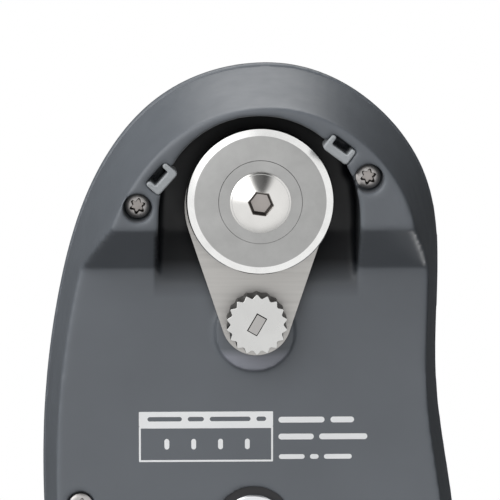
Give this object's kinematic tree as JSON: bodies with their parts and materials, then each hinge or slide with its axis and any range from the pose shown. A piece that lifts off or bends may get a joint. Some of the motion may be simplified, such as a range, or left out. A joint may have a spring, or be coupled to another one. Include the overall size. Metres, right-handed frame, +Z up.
{
  "type": "electric can opener",
  "caption": "Handheld battery can opener: a long rounded housing with a cutting disc and toothed drive wheel under its head, a top button and a sliding battery door.",
  "frame": {"origin": "middle of the footprint, on the surface that the opener stands on with its working side down", "axes": "+Z up out of the button side, +X towards the cutting head, +Y to the side that bulges at the grip"},
  "size_m": [0.1852, 0.0802, 0.0588],
  "materials": {
    "housing_plastic": "satin dark grey moulded ABS with a fine texture",
    "clip_plastic": "light grey acetal",
    "button_plastic": "satin mid grey",
    "bezel_metal": "satin plated",
    "turned_steel": "fine turned face, bright ground bevel",
    "polished_steel": "polished",
    "nickel_steel": "bright nickel",
    "brushed_plate": "brushed along its length",
    "screw_steel": "dark nickel",
    "hub_steel": "turned",
    "magnet_nickel": "satin nickel plated",
    "bush_bronze": "sintered bronze",
    "holder_plastic": "black",
    "plunger_plastic": "ivory",
    "gear_acetal": "natural acetal",
    "gearbox_steel": "zinc plated sheet",
    "ferrite": "sintered ferrite",
    "rotor_core": "laminations with copper windings",
    "board_laminate": "green solder mask",
    "spring_steel": "nickel plated spring wire and strip",
    "cell_jacket": "plain dark sleeve with a light end band"
  },
  "bodies": {
    "housing": {"bottom_shell": "housing_plastic", "top_shell": "housing_plastic", "button_bezel": "bezel_metal", "switch_body": "holder_plastic", "circuit_board": "board_laminate", "button_spring": "spring_steel", "head_screws": "screw_steel", "rear_screws": "screw_steel", "snap_frame_left": "clip_plastic", "snap_frame_right": "clip_plastic", "tie_plate": "brushed_plate", "plate_spacer": "brushed_plate", "plate_rivets": "brushed_plate", "shaft_bush_lower": "bush_bronze", "shaft_bush_upper": "bush_bronze", "lid_magnet": "magnet_nickel", "magnet_holder": "holder_plastic", "gearbox_base": "gearbox_steel", "gearbox_pillars": "screw_steel", "gearbox_cover": "gearbox_steel", "gearbox_screws": "screw_steel", "gear_axles": "screw_steel", "motor_bracket": "gearbox_steel", "motor_screws": "screw_steel", "motor_can": "gearbox_steel", "motor_end_cap": "holder_plastic", "motor_magnets": "ferrite", "contact_bridge": "spring_steel", "contact_tabs": "spring_steel", "battery_cell_1": "cell_jacket", "battery_cell_2": "cell_jacket"},
    "drive": {"drive_wheel": "nickel_steel", "drive_shaft": "nickel_steel", "final_gear": "gear_acetal"},
    "third_gear": {"third_gear": "gear_acetal"},
    "second_gear": {"second_gear": "gear_acetal"},
    "first_gear": {"first_gear": "gear_acetal"},
    "rotor": {"motor_rotor": "rotor_core", "motor_shaft": "screw_steel", "motor_pinion": "bush_bronze"},
    "hub": {"eccentric_hub": "hub_steel", "hub_washer": "polished_steel", "cutter_screw": "polished_steel", "hub_crank": "hub_steel", "hub_clip": "screw_steel"},
    "cutter": {"cutter_disc": "turned_steel"},
    "button": {"power_button": "button_plastic", "switch_plunger": "plunger_plastic"},
    "door": {"battery_door": "housing_plastic"}
  },
  "joints": [
    {"name": "drive_spin", "type": "hinge", "parent": "housing", "child": "drive", "pos_m": [0.0467, 0, 0], "axis": [0, 0, 1], "continuous": true},
    {"name": "third_gear_spin", "type": "hinge", "parent": "housing", "child": "third_gear", "pos_m": [0.0307, -0.012, 0], "axis": [0, 0, 1], "continuous": true},
    {"name": "second_gear_spin", "type": "hinge", "parent": "housing", "child": "second_gear", "pos_m": [0.0211, 0.0008, 0], "axis": [0, 0, 1], "continuous": true},
    {"name": "first_gear_spin", "type": "hinge", "parent": "housing", "child": "first_gear", "pos_m": [0.00798, 0.00508, 0], "axis": [0, 0, 1], "continuous": true},
    {"name": "motor_spin", "type": "hinge", "parent": "housing", "child": "rotor", "pos_m": [0.0022, -0.006, 0], "axis": [0, 0, 1], "continuous": true},
    {"name": "cutter_swing", "type": "hinge", "parent": "housing", "child": "hub", "pos_m": [0.0681, 0, 0], "axis": [0, 0, 1], "range_deg": [-22, 158]},
    {"name": "cutter_spin", "type": "hinge", "parent": "hub", "child": "cutter", "pos_m": [0.06958, 0.0006, 0], "axis": [0, 0, 1], "continuous": true},
    {"name": "button_press", "type": "slide", "parent": "housing", "child": "button", "axis": [0, 0, -1], "range_m": [0, 0.0012], "stiffness_N_per_m": 600, "springref_m": -0.001, "deforming": ["button_spring"]},
    {"name": "door_slide", "type": "slide", "parent": "housing", "child": "door", "axis": [-1, 0, 0], "range_m": [0, 0.06]}
  ],
  "couplings": [
    {"joint": "third_gear_spin", "follows": "drive_spin", "ratio": -3},
    {"joint": "second_gear_spin", "follows": "drive_spin", "ratio": 9},
    {"joint": "first_gear_spin", "follows": "drive_spin", "ratio": -32.4},
    {"joint": "motor_spin", "follows": "drive_spin", "ratio": 129.6}
  ]
}
